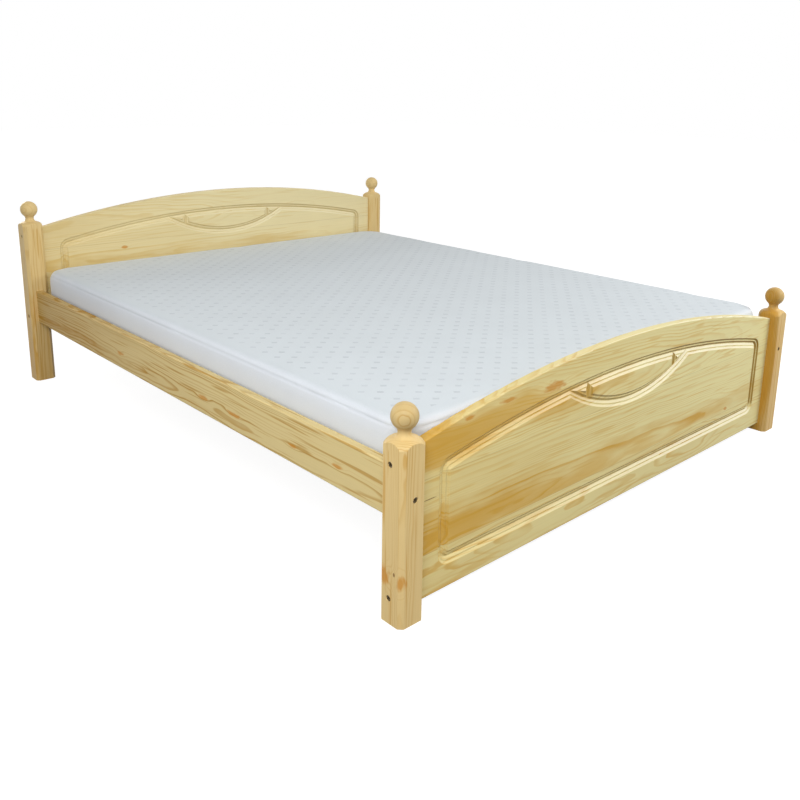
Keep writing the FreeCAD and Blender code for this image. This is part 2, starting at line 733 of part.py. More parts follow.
def fasteners():
    bolt, dowel, nut = bolt_pattern(), dowel_pattern(), nut_pattern()
    short_screw = screw_pattern("short_screw_pattern", "short_screw_length")
    long_screw = screw_pattern("long_screw_pattern", "long_screw_length")
    inward = {LEFT: 1, RIGHT: -1}
    corners = [(side, end) for side in SIDES.values() for end in ENDS.values()]
    panel_levels = [(side, end, f"panel_floor_gap + {RISES[end]}") for side, end in corners]
    panel_bolts, panel_nuts, panel_dowels = [], [], []
    for side, end, base in panel_levels:
        y = f"{end} * {PANEL_AXIS}"
        for level in ("panel_bolt_low", "panel_bolt_high"):
            z = f"{base} + {level}"
            panel_bolts.append(((f"{side} * ({POST_X} + {BOLT_SEAT})", y, z), (inward[side], 0, 0)))
            panel_nuts.append(((f"{side} * ({PANEL_HALF} - nut_setback)", y, z), (0, 1, 0)))
        for level in ("panel_dowel_low", "panel_dowel_high"):
            panel_dowels.append(((f"{side} * {PANEL_HALF}", y, f"{base} + {level}"), (1, 0, 0)))
    rail_bolts, rail_nuts, rail_dowels = [], [], []
    for side, end in corners:
        x = f"{side} * {RAIL_AXIS}"
        rail_bolts.append(((x, f"{end} * ({POST_Y} + {BOLT_SEAT})", RAIL_MIDDLE), (0, inward[end], 0)))
        rail_nuts.append(((x, f"{end} * ({RAIL_HALF} - nut_setback)", RAIL_MIDDLE), (1, 0, 0)))
        for sign in ("(-1)", "1"):
            z = f"{RAIL_MIDDLE} + {sign} * rail_dowel_offset"
            rail_dowels.append(((x, f"{end} * {RAIL_HALF}", z), (0, 1, 0)))
    group("panel_bolts", bolt, panel_bolts)
    group("panel_barrel_nuts", nut, panel_nuts, cross=(1, 0, 0))
    group("panel_dowels", dowel, panel_dowels)
    group("rail_bolts", bolt, rail_bolts)
    group("rail_barrel_nuts", nut, rail_nuts, cross=(0, 1, 0))
    group("rail_dowels", dowel, rail_dowels)
    ledger_inner = f"({RAIL_INNER} - ledger_width)"
    group("ledger_screws", long_screw, [
        ((f"{side} * {ledger_inner}", y, "rail_bottom + ledger_height / 2"), (-inward[side], 0, 0))
        for side in SIDES.values() for y in LEDGER_SCREWS])
    group("slat_screws", short_screw, [
        ((f"{side} * {LEDGER_AXIS}", y, SLAT_TOP), (0, 0, -1))
        for side in SIDES.values() for y in SLAT_PLACES])
    group("cleat_screws", long_screw, [
        ((f"{side} * cleat_screw_offset", f"{end} * ({PANEL_INNER} - cleat_thickness)", CLEAT_SCREW_Z),
         (0, -inward[end], 0)) for side, end in corners])


def build():
    for end_name, end in ENDS.items():
        for side_name, side in SIDES.items():
            post(f"{end_name}_{side_name}_post", side, end)
        panel(f"{end_name}board_panel", end)
        cleat(f"{end_name}_beam_cleat", end)
    for side_name, side in SIDES.items():
        rail(f"{side_name}_side_rail", side)
        ledger(f"{side_name}_ledger_strip", side)
    for number, y in enumerate(SLAT_PLACES, start=1):
        slat(f"slat_{number:02d}", y)
    center_beam()
    center_leg()
    mattress()
    fasteners()
    doc.recompute()


def write():
    """Stop at any failed object, then write each piece to its own file."""
    for item in doc.Objects:
        if "Invalid" in item.State or "Error" in item.State:
            raise RuntimeError(f"{item.Label} failed: {item.State}")
    for piece in parts:
        if piece.Shape.isNull() or not piece.Shape.isValid():
            raise RuntimeError(f"{piece.Label} has no valid shape")
    os.makedirs("parts", exist_ok=True)
    for piece in parts:
        piece.Shape.exportStep(f"parts/{piece.Label}.step")
        print(f"{piece.Label}: {len(piece.Shape.Solids)} solid(s), {piece.Shape.Volume / 1000:.1f} cm3")


build()
write()
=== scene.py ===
import math
from collections import namedtuple

import bmesh
import bpy
import numpy as np
from mathutils import Euler, Matrix, Vector


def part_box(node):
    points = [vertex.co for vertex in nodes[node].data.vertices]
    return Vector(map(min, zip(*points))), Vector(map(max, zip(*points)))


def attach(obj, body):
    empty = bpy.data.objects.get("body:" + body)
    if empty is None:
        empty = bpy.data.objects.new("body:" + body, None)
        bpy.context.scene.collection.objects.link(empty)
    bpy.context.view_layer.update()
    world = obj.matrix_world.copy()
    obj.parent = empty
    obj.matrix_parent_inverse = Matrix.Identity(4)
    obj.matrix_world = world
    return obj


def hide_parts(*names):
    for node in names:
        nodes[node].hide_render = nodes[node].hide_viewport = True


# A pine double bed with a white knitted mattress. Lengths are in metres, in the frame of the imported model:
# +X to the right seen from the foot, +Y to the head, +Z up, with the floor at 0.

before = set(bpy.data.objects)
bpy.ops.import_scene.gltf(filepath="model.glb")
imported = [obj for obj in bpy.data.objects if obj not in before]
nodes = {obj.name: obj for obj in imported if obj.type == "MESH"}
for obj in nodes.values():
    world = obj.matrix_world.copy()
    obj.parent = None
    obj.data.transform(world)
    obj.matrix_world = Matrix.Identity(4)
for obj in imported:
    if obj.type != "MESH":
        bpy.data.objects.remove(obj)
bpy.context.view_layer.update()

# The photograph's view: angles in degrees, lens and sensor in millimetres
CAMERA_PLACE = (-1.9047, -2.1930, 1.0865)
CAMERA_HEADING = 42.87
CAMERA_TILT = 13.76
CAMERA_ROLL = -1.01
CAMERA_LENS = 38.29
CAMERA_SENSOR = 36.0
CAMERA_SHIFT = (-0.010, -0.125)

# The studio: white surroundings and a white floor, a weak sun, and softboxes by their place and power
WHITE = (1, 1, 1, 1)
SKY_LIGHT = 0.33
SKY_SEEN = 1.0
SUN_STRENGTH = 0.25
SUN_AIM = (0.0, 0.64, -0.77)
SUN_SPREAD = math.radians(35)
SOFTBOX_SIDE = 1.2
SOFTBOX_TARGET = (0, -0.5, 0.3)
SOFTBOXES = {
    "left_front_softbox": ((-2.4, -2.4, 2.2), 57.0),
    "right_front_softbox": ((2.2, -2.5, 2.2), 52.0),
    "left_softbox": ((-2.6, -0.3, 1.0), 9.0),
    "right_softbox": ((3.2, 1.2, 2.6), 10.0),
    "back_softbox": ((-0.8, 4.2, 1.5), 40.0),
}
FLOOR_HALF = 20.0
FLOOR_GREY = (0.25, 0.25, 0.25, 1)
FLOOR_GLOW = 0.91

# Colours, as linear values
FOOT_PALE = (0.825, 0.740, 0.370, 1)
FOOT_AMBER = (0.636, 0.366, 0.056, 1)
HEAD_PALE = (0.800, 0.690, 0.395, 1)
HEAD_AMBER = (0.640, 0.420, 0.110, 1)
POST_PALE = (0.765, 0.565, 0.255, 1)
POST_AMBER = (0.580, 0.300, 0.040, 1)
RAIL_PALE = (0.760, 0.610, 0.290, 1)
RAIL_AMBER = (0.470, 0.245, 0.030, 1)
PLANED_PALE = (0.700, 0.560, 0.330, 1)
PLANED_AMBER = (0.560, 0.370, 0.150, 1)
BEECH_PALE = (0.600, 0.420, 0.250, 1)
BEECH_DARK = (0.470, 0.300, 0.160, 1)
KNOT_ORANGE = (0.600, 0.240, 0.015, 1)
PITCH_BROWN = (0.230, 0.110, 0.025, 1)
# Painted light in routed cuts: painted shade in brown where they look down or sideways, and a painted
# highlight in pale where they look up
CUT_SHADE_BROWN = (0.320, 0.165, 0.008, 1)
CUT_HIGHLIGHT_PALE = (0.920, 0.870, 0.680, 1)
KNIT_TOP = (0.660, 0.712, 0.742, 1)
KNIT_DASH = (0.440, 0.490, 0.530, 1)
KNIT_BORDER = (0.765, 0.805, 0.855, 1)
FOAM_CREAM = (0.750, 0.700, 0.540, 1)
FOAM_PORE_SHADE = (0.520, 0.470, 0.330, 1)
BRONZE = (0.120, 0.086, 0.038, 1)
BRONZE_WORN = (0.080, 0.056, 0.024, 1)
ZINC = (0.560, 0.570, 0.580, 1)
ZINC_DULL = (0.430, 0.440, 0.450, 1)
YELLOW_ZINC = (0.640, 0.540, 0.290, 1)
YELLOW_ZINC_DULL = (0.520, 0.400, 0.200, 1)

# Patterns in wood: how often each one changes in a metre along and across the grain, and its detail
Pattern = namedtuple("Pattern", "along across detail")
RIPPLE = Pattern(6, 26, 2.0)
PATCH = Pattern(2.0, 14, 1.0)
FIBRE = Pattern(9, 260, 2.0)
DRIFT = Pattern(1.4, 11, 1.0)
HEART_RIM = Pattern(3.5, 20, 3.0)
THREAD = Pattern(5, 150, 0.0)
KNOT_RIM = Pattern(40, 120, 1.0)
FLECK = Pattern(160, 900, 2.0)

# Growth of the pine. A pair is where a mask starts and where it is full.
NOISE_MIDDLE = 0.5
PITH_PACE = 2.2
PITH_ROW = 0.5
RIPPLE_DEPTH = 0.010
UNEVEN_PACE = 30
UNEVEN_RINGS = 2.6
LATE_RISE = (0.45, 0.86)
LATE_FALL = (1.0, 0.90)
WEAKEST_RING = 0.30
PATCH_SEED = 7.0
PATCH_RISE = (0.36, 0.60)
WEAKEST_PATCH = 0.30
HEART_RAGGED = 0.8
HEART_FALL = (1.35, 0.60)
THREAD_RISE = (0.62, 0.76)
KNOT_SWELL = (2.8, 0.4)
KNOT_LIFT = 1.1
KNOT_RAGGED = 0.9
KNOT_FALL = (1.35, 0.50)

# Finish of the pine: shares of a colour in the mix, and ranges of shade, roughness and relief
HEART_SHARE = 0.62
DRIFT_SHARE = 0.20
FIBRE_SHADE = (0.94, 1.04)
DRIFT_SHADE = (0.04, -0.04)
KNOT_SHARE = (0.72, 0.95)
PITCH_FALL = (1.0, 0.5)
PITCH_SHARE = 0.85
GLUE_FALL = (0.0009, 0.0002)
GLUE_SHARE = 0.30
STREAK_STOP = 0.015
STREAK_FULL = 0.030
TURNED_BLEND = 0.02
ROUGHNESS_DROP = 0.05
ROUGHNESS_RISE = 0.08
COAT_ROUGHNESS = 0.20
RING_RELIEF = 0.5
GRAIN_BUMP = (0.12, 0.0006)

# Routed cuts: the Y of the normal where a bevel starts and ends, the depth from the front face, the Z of the
# normal from which a cut that looks down takes painted shade and one that looks up a painted highlight, and
# the X between which that painted light grows from its left to its right strength
BEVEL_START = (-0.97, -0.88)
BEVEL_END = (-0.4, -0.6)
CUT_DEPTH = (0.0001, 0.0006)
LOOKS_DOWN = (0.35, -0.10)
LOOKS_UP = (0.25, 0.55)
CUT_SPAN = (-0.8, 0.5)
CUT_HIGHLIGHT_SHARE = 0.8

# Beech
FLECK_SEED = 2.0
FLECK_RISE = (0.5, 0.72)
BEECH_ROUGHNESS = (0.55, 0.70)
BEECH_BUMP = (0.2, 0.0004)

# Plated or coated steel
BRONZE_ROUGHNESS = 0.46
BRONZE_METAL = 0.3
ZINC_ROUGHNESS = 0.34
YELLOW_ZINC_ROUGHNESS = 0.32
MOTTLE_SCALE = 420.0
MOTTLE_DETAIL = 3.0
MOTTLE_DROP = 0.08
MOTTLE_RISE = 0.14
MOTTLE_BUMP = (0.15, 0.0002)
DULL_SCALE = 60.0
DULL_RISE = (0.35, 0.75)

# Heights of the glue joints between a panel's three boards, above its lower edge
GLUE_JOINTS = (0.104, 0.279)

# The turned wood of a post, down from its top
TURNED_LENGTH = 0.075

# Mattress
VOXEL = 0.018
AIR_PRESSURE = 4.0
AIR_FRAMES = 20
SWELL = 0.007
SIDE_MOVE = 0.005
CROWN = 0.004
COVER_INSET = 0.001
COVER_LIFT = 0.003
CORNER_RADIUS = 0.060
EDGE_RADIUS = 0.012
FOAM_INSET = 0.006
FOAM_CORNER_RADIUS = 0.045
FOAM_EDGE_RADIUS = 0.010
CORNER_STEPS = 8
EDGE_STEPS = 4
ROUND_PROFILE = 0.5
SHARP_ANGLE = 1.0
SEAM_DROP = 0.020
SEAM_DEPTH = 0.0017
SEAM_HALF_WIDTH = 0.0035
SEAM_SNAP = 0.0008
QUILT_DEPTH = 0.0012

# Knit. The ends and the sides of a dash are shares of its length and of the gap in its pair.
HALF_CELL = 0.5
DASH_PITCH = (0.067, 0.056)
DASH_HALF_LENGTH = 0.0076
DASH_GAP = 0.0029
DASH_END = (1.15, 0.8)
DASH_SIDE = (0.75, 0.2)
DASH_TURN = math.radians(-40)
FAINTEST_DASH = 0.45
PLAIN_BAND = 0.045
BAND_BLEND = 0.004
LOOP_PITCH = (0.0026, 0.0019)
LOOP_RELIEF = 0.10
FUZZ_SCALE = 300.0
FUZZ_SHADE = (0.96, 1.02)
CLOUD_SCALE = 7.0
CLOUD_SHADE = (-0.03, 0.03)
KNIT_ROUGHNESS = (0.82, 0.96)
KNIT_BUMP = (0.6, 0.0012)

# Foam
PORE_SCALE = 500.0
PORE_FALL = (0.45, 0.1)
FOAM_ROUGHNESS = (0.95, 0.80)
FOAM_BUMP = (0.5, 0.001)


# Node helpers

def node(tree, kind, inputs=None, **settings):
    """Add a shader node. inputs holds a value, or another node's output, by the input's name or number."""
    made = tree.nodes.new("ShaderNode" + kind)
    for name, setting in settings.items():
        setattr(made, name, setting)
    for key, given in (inputs or {}).items():
        if isinstance(given, bpy.types.NodeSocket):
            tree.links.new(given, made.inputs[key])
        else:
            made.inputs[key].default_value = given
    return made


def calc(tree, operation, *values):
    return node(tree, "Math", dict(enumerate(values)), operation=operation).outputs[0]


def times(tree, first, second):
    return calc(tree, "MULTIPLY", first, second)


def vector_calc(tree, operation, *values):
    made = node(tree, "VectorMath", dict(enumerate(values)), operation=operation)
    return made.outputs["Value" if operation == "LENGTH" else "Vector"]


def join_axes(tree, axes):
    """A vector from values by their axis. An axis that is left out is 0."""
    return node(tree, "CombineXYZ", axes).outputs[0]


def split_axes(tree, vector):
    return node(tree, "SeparateXYZ", {0: vector}).outputs


def object_place(tree):
    return node(tree, "TexCoord").outputs["Object"]


def step_up(tree, value, low, high):
    """0 at low and 1 at high, smooth between. It falls where low is the larger."""
    inputs = {"Value": value, "From Min": low, "From Max": high}
    return node(tree, "MapRange", inputs, interpolation_type="SMOOTHSTEP").outputs["Result"]


def between(tree, value, low, high):
    """A value of 0 to 1 spread from low to high."""
    return node(tree, "MapRange", {"Value": value, "To Min": low, "To Max": high}).outputs["Result"]


def noise(tree, vector, detail=2.0, scale=1.0):
    return node(tree, "TexNoise", {"Vector": vector, "Scale": scale, "Detail": detail})


def grain_noise(tree, place, pattern, seed):
    """Noise drawn out along the grain, and moved by a seed."""
    scaled = vector_calc(tree, "MULTIPLY", place, (pattern.along, pattern.across, pattern.across))
    moved = vector_calc(tree, "ADD", scaled, join_axes(tree, {0: seed, 1: seed, 2: seed}))
    return noise(tree, moved, pattern.detail).outputs[0]


def mix_colors(tree, share, first, second, kind="MIX"):
    """Mix two colours. The colour sockets of this node share their names, so they go by number."""
    inputs = {0: share, 6: first, 7: second}
    return node(tree, "Mix", inputs, data_type="RGBA", blend_type=kind).outputs[2]


def shaded(tree, colour, shade):
    """A colour made lighter or darker by a value near 1."""
    grey = node(tree, "CombineColor", {0: shade, 1: shade, 2: shade}).outputs[0]
    return mix_colors(tree, 1.0, colour, grey, "MULTIPLY")


def bump(tree, height, strength, distance):
    return node(tree, "Bump", {"Height": height, "Strength": strength, "Distance": distance}).outputs[0]


def node_group(name, inputs, outputs):
    """A node group with its named sockets. Returns the group, its input node and its output node."""
    group = bpy.data.node_groups.new(name, "ShaderNodeTree")
    for direction, sockets in (("INPUT", inputs), ("OUTPUT", outputs)):
        for socket, kind in sockets.items():
            group.interface.new_socket(socket, in_out=direction, socket_type="NodeSocket" + kind)
    return group, group.nodes.new("NodeGroupInput"), group.nodes.new("NodeGroupOutput")


def new_material(name):
    material = bpy.data.materials.new(name)
    material.use_nodes = True
    material.node_tree.nodes.clear()
    return material, material.node_tree


def finish_material(tree, inputs):
    shader = node(tree, "BsdfPrincipled", inputs)
    node(tree, "OutputMaterial", {"Surface": shader.outputs[0]})


# Wood

def growth_group():
    """Growth rings round a pith that wanders along the board, heartwood, fibre and slow changes of tone.

    Place has X along the grain and the pith at 0 across it. Heart is the radius of the heartwood.
    """
    inputs = {"Place": "Vector", "Seed": "Float", "Ring Width": "Float", "Wander": "Float", "Lift": "Float",
              "Heart": "Float"}
    outputs = {"Late": "Float", "Fibre": "Float", "Drift": "Float", "Streak": "Float", "Heart": "Float"}
    group, given, out = node_group("pine_growth", inputs, outputs)
    place, seed = given.outputs["Place"], given.outputs["Seed"]

    along = split_axes(group, place)[0]
    pace = join_axes(group, {0: times(group, along, PITH_PACE), 1: seed, 2: PITH_ROW})
    sway = vector_calc(group, "SUBTRACT", noise(group, pace, 1.0).outputs[1], (NOISE_MIDDLE,) * 3)
    swing = {0: sway, "Scale": given.outputs["Wander"]}
    swung = node(group, "VectorMath", swing, operation="SCALE").outputs[0]
    flat = vector_calc(group, "MULTIPLY", vector_calc(group, "ADD", place, swung), (0, 1, 1))
    radius = calc(group, "ADD", vector_calc(group, "LENGTH", flat), given.outputs["Lift"])
    radius = calc(group, "MULTIPLY_ADD", grain_noise(group, place, RIPPLE, seed), RIPPLE_DEPTH, radius)

    spread = {"W": calc(group, "MULTIPLY_ADD", radius, UNEVEN_PACE, seed), "Scale": 1.0, "Detail": 0}
    uneven = node(group, "TexNoise", spread, noise_dimensions="1D").outputs[0]
    even = calc(group, "DIVIDE", radius, given.outputs["Ring Width"])
    rings = calc(group, "MULTIPLY_ADD", uneven, UNEVEN_RINGS, even)
    season = calc(group, "FRACT", rings)
    number = calc(group, "ADD", calc(group, "FLOOR", rings), seed)
    strength = node(group, "TexWhiteNoise", {"W": number}, noise_dimensions="1D").outputs["Value"]
    patch = grain_noise(group, place, PATCH, calc(group, "ADD", seed, PATCH_SEED))
    late = times(group, step_up(group, season, *LATE_RISE), step_up(group, season, *LATE_FALL))
    late = times(group, late, between(group, strength, WEAKEST_RING, 1.0))
    late = times(group, late, between(group, step_up(group, patch, *PATCH_RISE), WEAKEST_PATCH, 1.0))

    ragged = between(group, grain_noise(group, place, HEART_RIM, seed), -HEART_RAGGED, HEART_RAGGED)
    reach = calc(group, "ADD", calc(group, "DIVIDE", radius, given.outputs["Heart"]), ragged)
    results = {
        "Late": late,
        "Fibre": grain_noise(group, place, FIBRE, seed),
        "Drift": grain_noise(group, place, DRIFT, seed),
        "Streak": step_up(group, grain_noise(group, place, THREAD, seed), *THREAD_RISE),
        "Heart": step_up(group, reach, *HEART_FALL),
    }
    for name, socket in results.items():
        group.links.new(socket, out.inputs[name])
    return group


def knot_group():
    """A knot: it lifts the rings so that they flow round it, and adds its orange core."""
    inputs = {"Place": "Vector", "Centre": "Vector", "Size": "Float", "Stretch": "Float", "Lift": "Float",
              "Core": "Float"}
    group, given, out = node_group("pine_knot", inputs, {"Lift": "Float", "Core": "Float"})
    place, size = given.outputs["Place"], given.outputs["Size"]
    away = vector_calc(group, "SUBTRACT", place, given.outputs["Centre"])
    shape = join_axes(group, {0: given.outputs["Stretch"], 1: 1.0, 2: 1.0})
    length = vector_calc(group, "LENGTH", vector_calc(group, "DIVIDE", away, shape))
    reach = calc(group, "DIVIDE", length, size)
    swell = step_up(group, reach, *KNOT_SWELL)
    lift = calc(group, "MULTIPLY_ADD", swell, times(group, size, KNOT_LIFT), given.outputs["Lift"])
    ragged = between(group, grain_noise(group, place, KNOT_RIM, 0.0), -KNOT_RAGGED, KNOT_RAGGED)
    core = step_up(group, calc(group, "ADD", reach, ragged), *KNOT_FALL)
    group.links.new(lift, out.inputs["Lift"])
    group.links.new(calc(group, "MAXIMUM", core, given.outputs["Core"]), out.inputs["Core"])
    return group


GROWTH = growth_group()
KNOT = knot_group()
GRAIN_ORDER = {"X": (0, 1, 2), "Y": (1, 0, 2), "Z": (2, 0, 1)}

# One board: its pith across the grain, how far the pith's first coordinate moves in a metre along the grain,
# the radius of its heartwood, its share of amber, its seed and how far that share changes in a metre along
# the grain
Board = namedtuple("Board", "pith slope heart tone seed fade", defaults=(0.0,))
# A knot's stretch is along the grain
Knot = namedtuple("Knot", "place size stretch")
PitchLine = namedtuple("PitchLine", "place half_length half_width")
# A routed front face: its Y, and how strongly the painted shade and painted highlight in its cuts show
# at its left and right ends
Routing = namedtuple("Routing", "front left right")
# The height above which a post is turned, and the painted shade that darkens that wood
Turning = namedtuple("Turning", "height shade")


def by_board(tree, steps, values):
    """A value that changes from board to board. steps are 0 below a joint and 1 above it."""
    total = values[0]
    for step, first, second in zip(steps, values, values[1:]):
        total = calc(tree, "MULTIPLY_ADD", step, second - first, total)
    return total


def along_grain(tree, axes, order):
    """A place with X along the grain."""
    return join_axes(tree, {index: axes[axis] for index, axis in enumerate(order)})


def pitch_marks(tree, colour, place, order, pitch_lines):
    """Dark lines of pitch along the grain."""
    for centre, half_length, half_width in pitch_lines:
        away = vector_calc(tree, "SUBTRACT", place, [centre[axis] for axis in order])
        away = vector_calc(tree, "DIVIDE", away, (half_length, half_width, half_width))
        mark = step_up(tree, vector_calc(tree, "LENGTH", away), *PITCH_FALL)
        colour = mix_colors(tree, times(tree, mark, PITCH_SHARE), colour, PITCH_BROWN)
    return colour


def glue_lines(tree, colour, height, joints):
    """Thin dark lines where two boards meet."""
    for joint in joints:
        gap = calc(tree, "ABSOLUTE", calc(tree, "SUBTRACT", height, joint))
        line = times(tree, step_up(tree, gap, *GLUE_FALL), GLUE_SHARE)
        colour = mix_colors(tree, line, colour, PITCH_BROWN)
    return colour


def routed_cuts(tree, colour, axes, routing):
    """Cuts in a routed face: painted shade in brown where they look down or sideways, and a painted highlight
    in pale where they look up.
    """
    depth = calc(tree, "SUBTRACT", axes[1], routing.front)
    facing = split_axes(tree, node(tree, "NewGeometry").outputs["True Normal"])
    bevel = times(tree, step_up(tree, facing[1], *BEVEL_START), step_up(tree, facing[1], *BEVEL_END))
    cut = times(tree, step_up(tree, depth, *CUT_DEPTH), bevel)
    painted_shade = times(tree, cut, step_up(tree, facing[2], *LOOKS_DOWN))
    upper = times(tree, cut, step_up(tree, facing[2], *LOOKS_UP))
    # The painted shade and painted highlight grow along X from the face's left strength to its right one
    painted_light_fade = between(tree, step_up(tree, axes[0], *CUT_SPAN), routing.left, routing.right)
    colour = mix_colors(tree, times(tree, painted_shade, painted_light_fade), colour, CUT_SHADE_BROWN)
    return mix_colors(tree, times(tree, upper, times(tree, painted_light_fade, CUT_HIGHLIGHT_SHARE)), colour, CUT_HIGHLIGHT_PALE)


def pine(name, along, boards, pale, amber, joints=(), knots=(), pitch_lines=(), routing=None, turning=None,
         ring_width=0.0042, wander=0.03, contrast=0.75, streaks=0.45, coat=0.05, specular=0.12,
         roughness=0.42):
    """Pine with its grain along an axis, in boards that meet at the heights of the glue joints.

    contrast is the share of amber in the late wood, and streaks that in the thin lines along the grain.
    """
    material, tree = new_material(name)
    axes = split_axes(tree, object_place(tree))
    order = GRAIN_ORDER[along]
    place = along_grain(tree, axes, order)
    steps = [calc(tree, "GREATER_THAN", axes[2], joint) for joint in joints]
    slope, heart, tone, seed, fade = (by_board(tree, steps, [getattr(board, field) for board in boards])
                                      for field in ("slope", "heart", "tone", "seed", "fade"))
    first, second = (by_board(tree, steps, [board.pith[axis] for board in boards]) for axis in (0, 1))
    pith = join_axes(tree, {1: calc(tree, "MULTIPLY_ADD", axes[order[0]], slope, first), 2: second})

    lift, core = 0.0, 0.0
    for centre, size, stretch in knots:
        inputs = {"Place": place, "Centre": [centre[axis] for axis in order], "Size": size,
                  "Stretch": stretch, "Lift": lift, "Core": core}
        knot = node(tree, "Group", inputs, node_tree=KNOT)
        lift, core = knot.outputs["Lift"], knot.outputs["Core"]
    inputs = {"Place": vector_calc(tree, "SUBTRACT", place, pith), "Seed": seed, "Ring Width": ring_width,
              "Wander": wander, "Lift": lift, "Heart": heart}
    growth = node(tree, "Group", inputs, node_tree=GROWTH).outputs
    late, fibre, drift = growth["Late"], growth["Fibre"], growth["Drift"]

    share = calc(tree, "ADD", tone, times(tree, axes[order[0]], fade))
    share = calc(tree, "MULTIPLY_ADD", late, contrast, share)
    share = calc(tree, "MULTIPLY_ADD", growth["Heart"], HEART_SHARE, share)
    share = calc(tree, "ADD", share, between(tree, drift, -DRIFT_SHARE, DRIFT_SHARE))
    colour = mix_colors(tree, share, pale, amber)
    shade = calc(tree, "ADD", between(tree, fibre, *FIBRE_SHADE), between(tree, drift, *DRIFT_SHADE))
    colour = shaded(tree, colour, shade)
    streak = times(tree, growth["Streak"], streaks)
    if turning:
        below = step_up(tree, axes[2], turning.height - STREAK_STOP, turning.height - STREAK_FULL)
        streak = times(tree, streak, below)
    colour = mix_colors(tree, streak, colour, amber)
    if knots:
        colour = mix_colors(tree, times(tree, core, between(tree, late, *KNOT_SHARE)), colour, KNOT_ORANGE)
    colour = pitch_marks(tree, colour, place, order, pitch_lines)
    colour = glue_lines(tree, colour, axes[2], joints)
    # Painted shade: the turned wood is darkened by the turning's shade
    if turning:
        above = step_up(tree, axes[2], turning.height, turning.height + TURNED_BLEND)
        colour = shaded(tree, colour, between(tree, above, 1.0, turning.shade))
    if routing:
        colour = routed_cuts(tree, colour, axes, routing)

    finish_material(tree, {
        "Base Color": colour,
        "Roughness": between(tree, fibre, roughness - ROUGHNESS_DROP, roughness + ROUGHNESS_RISE),
        "Specular IOR Level": specular,
        "Coat Weight": coat,
        "Coat Roughness": COAT_ROUGHNESS,
        "Normal": bump(tree, calc(tree, "MULTIPLY_ADD", late, RING_RELIEF, fibre), *GRAIN_BUMP),
    })
    return material


def paint(material, *names):
    """Give CAD pieces a material in every slot."""
    for name in names:
        for slot in nodes[name].material_slots:
            slot.material = material


def varnished_posts():
    """Posts sawn beside the pith, and a foot right post that shows heartwood on its left face."""
    knots = {"foot_left_post": [Knot((-0.855, -1.002, 0.108), size=0.014, stretch=1.4),
                                Knot((-0.850, -1.050, 0.104), size=0.011, stretch=1.5)]}
    pitch_lines = {"foot_left_post": [PitchLine((-0.855, -1.034, 0.121), half_length=0.006,
                                                half_width=0.004)]}
    hearts = {"foot_right_post": 0.036}
    no_heart = 0.001
    heart_offset, pith_offset = 0.006, 0.060
    first_seed = 11.0
    # Share of amber at the floor, its change in a metre up, and the painted shade of the turned wood. On the
    # head posts that change is painted shade as well: more amber, so darker, towards the floor
    tones = {"foot_left_post": (-0.05, 0.0, 0.84), "foot_right_post": (0.25, 0.0, 0.84),
             "head_left_post": (0.38, -1.2, 1.0), "head_right_post": (0.25, -1.0, 1.0)}
    for number, (name, (tone, fade, shade)) in enumerate(tones.items()):
        low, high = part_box(name)
        middle = (low + high) / 2
        pith = (middle.x + pith_offset, middle.y + pith_offset)
        if name in hearts:
            pith = (low.x - heart_offset, middle.y)
        board = Board(pith, slope=0.0, heart=hearts.get(name, no_heart), tone=tone, seed=first_seed + number,
                      fade=fade)
        material = pine(name + "_pine", "Z", [board], POST_PALE, POST_AMBER, knots=knots.get(name, ()),
                        pitch_lines=pitch_lines.get(name, ()), ring_width=0.0065, wander=0.016, contrast=0.85,
                        streaks=0.6, turning=Turning(high.z - TURNED_LENGTH, shade))
        paint(material, name)


def varnished_footboard():
    low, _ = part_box("footboard_panel")
    front, bottom = low.y, low.z
    boards = [
        Board((front + 0.090, bottom + 0.050), slope=0.0, heart=0.020, tone=0.16, seed=3.0, fade=-0.16),
        Board((front + 0.050, bottom + 0.130), slope=0.03, heart=0.066, tone=0.10, seed=10.0, fade=-0.20),
        Board((front + 0.058, bottom + 0.350), slope=0.06, heart=0.052, tone=0.10, seed=17.0, fade=-0.26),
    ]
    knots = [
        Knot((-0.345, front, 0.414), size=0.011, stretch=3.4),
        Knot((-0.510, front, 0.418), size=0.005, stretch=5.0),
        Knot((-0.640, front, 0.408), size=0.006, stretch=3.0),
        Knot((0.539, front, 0.139), size=0.005, stretch=2.0),
    ]
    pitch_lines = [PitchLine((-0.752, front, 0.256), half_length=0.024, half_width=0.0016)]
    joints = [bottom + joint for joint in GLUE_JOINTS]
    material = pine("footboard_pine", "X", boards, FOOT_PALE, FOOT_AMBER, joints, knots, pitch_lines,
                    ring_width=0.0075, wander=0.045, contrast=0.55, streaks=0.35, coat=0.1, specular=0.08,
                    routing=Routing(front, left=0.05, right=0.92))
    paint(material, "footboard_panel")


def varnished_headboard():
    low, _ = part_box("headboard_panel")
    front, bottom = low.y, low.z
    boards = [
        Board((front + 0.080, bottom + 0.060), slope=0.0, heart=0.020, tone=-0.06, seed=21.0),
        Board((front + 0.040, bottom + 0.215), slope=-0.01, heart=0.045, tone=-0.06, seed=28.0, fade=-0.50),
        Board((front + 0.095, bottom + 0.360), slope=0.02, heart=0.030, tone=-0.04, seed=35.0, fade=-0.50),
    ]
    knots = [Knot((-0.470, front, 0.470), size=0.005, stretch=3.0)]
    joints = [bottom + joint for joint in GLUE_JOINTS]
    material = pine("headboard_pine", "X", boards, HEAD_PALE, HEAD_AMBER, joints, knots, ring_width=0.0075,
                    wander=0.045, contrast=0.40, streaks=0.22, coat=0.1, specular=0.08,
                    routing=Routing(front, left=0.08, right=0.42))
    paint(material, "headboard_panel")


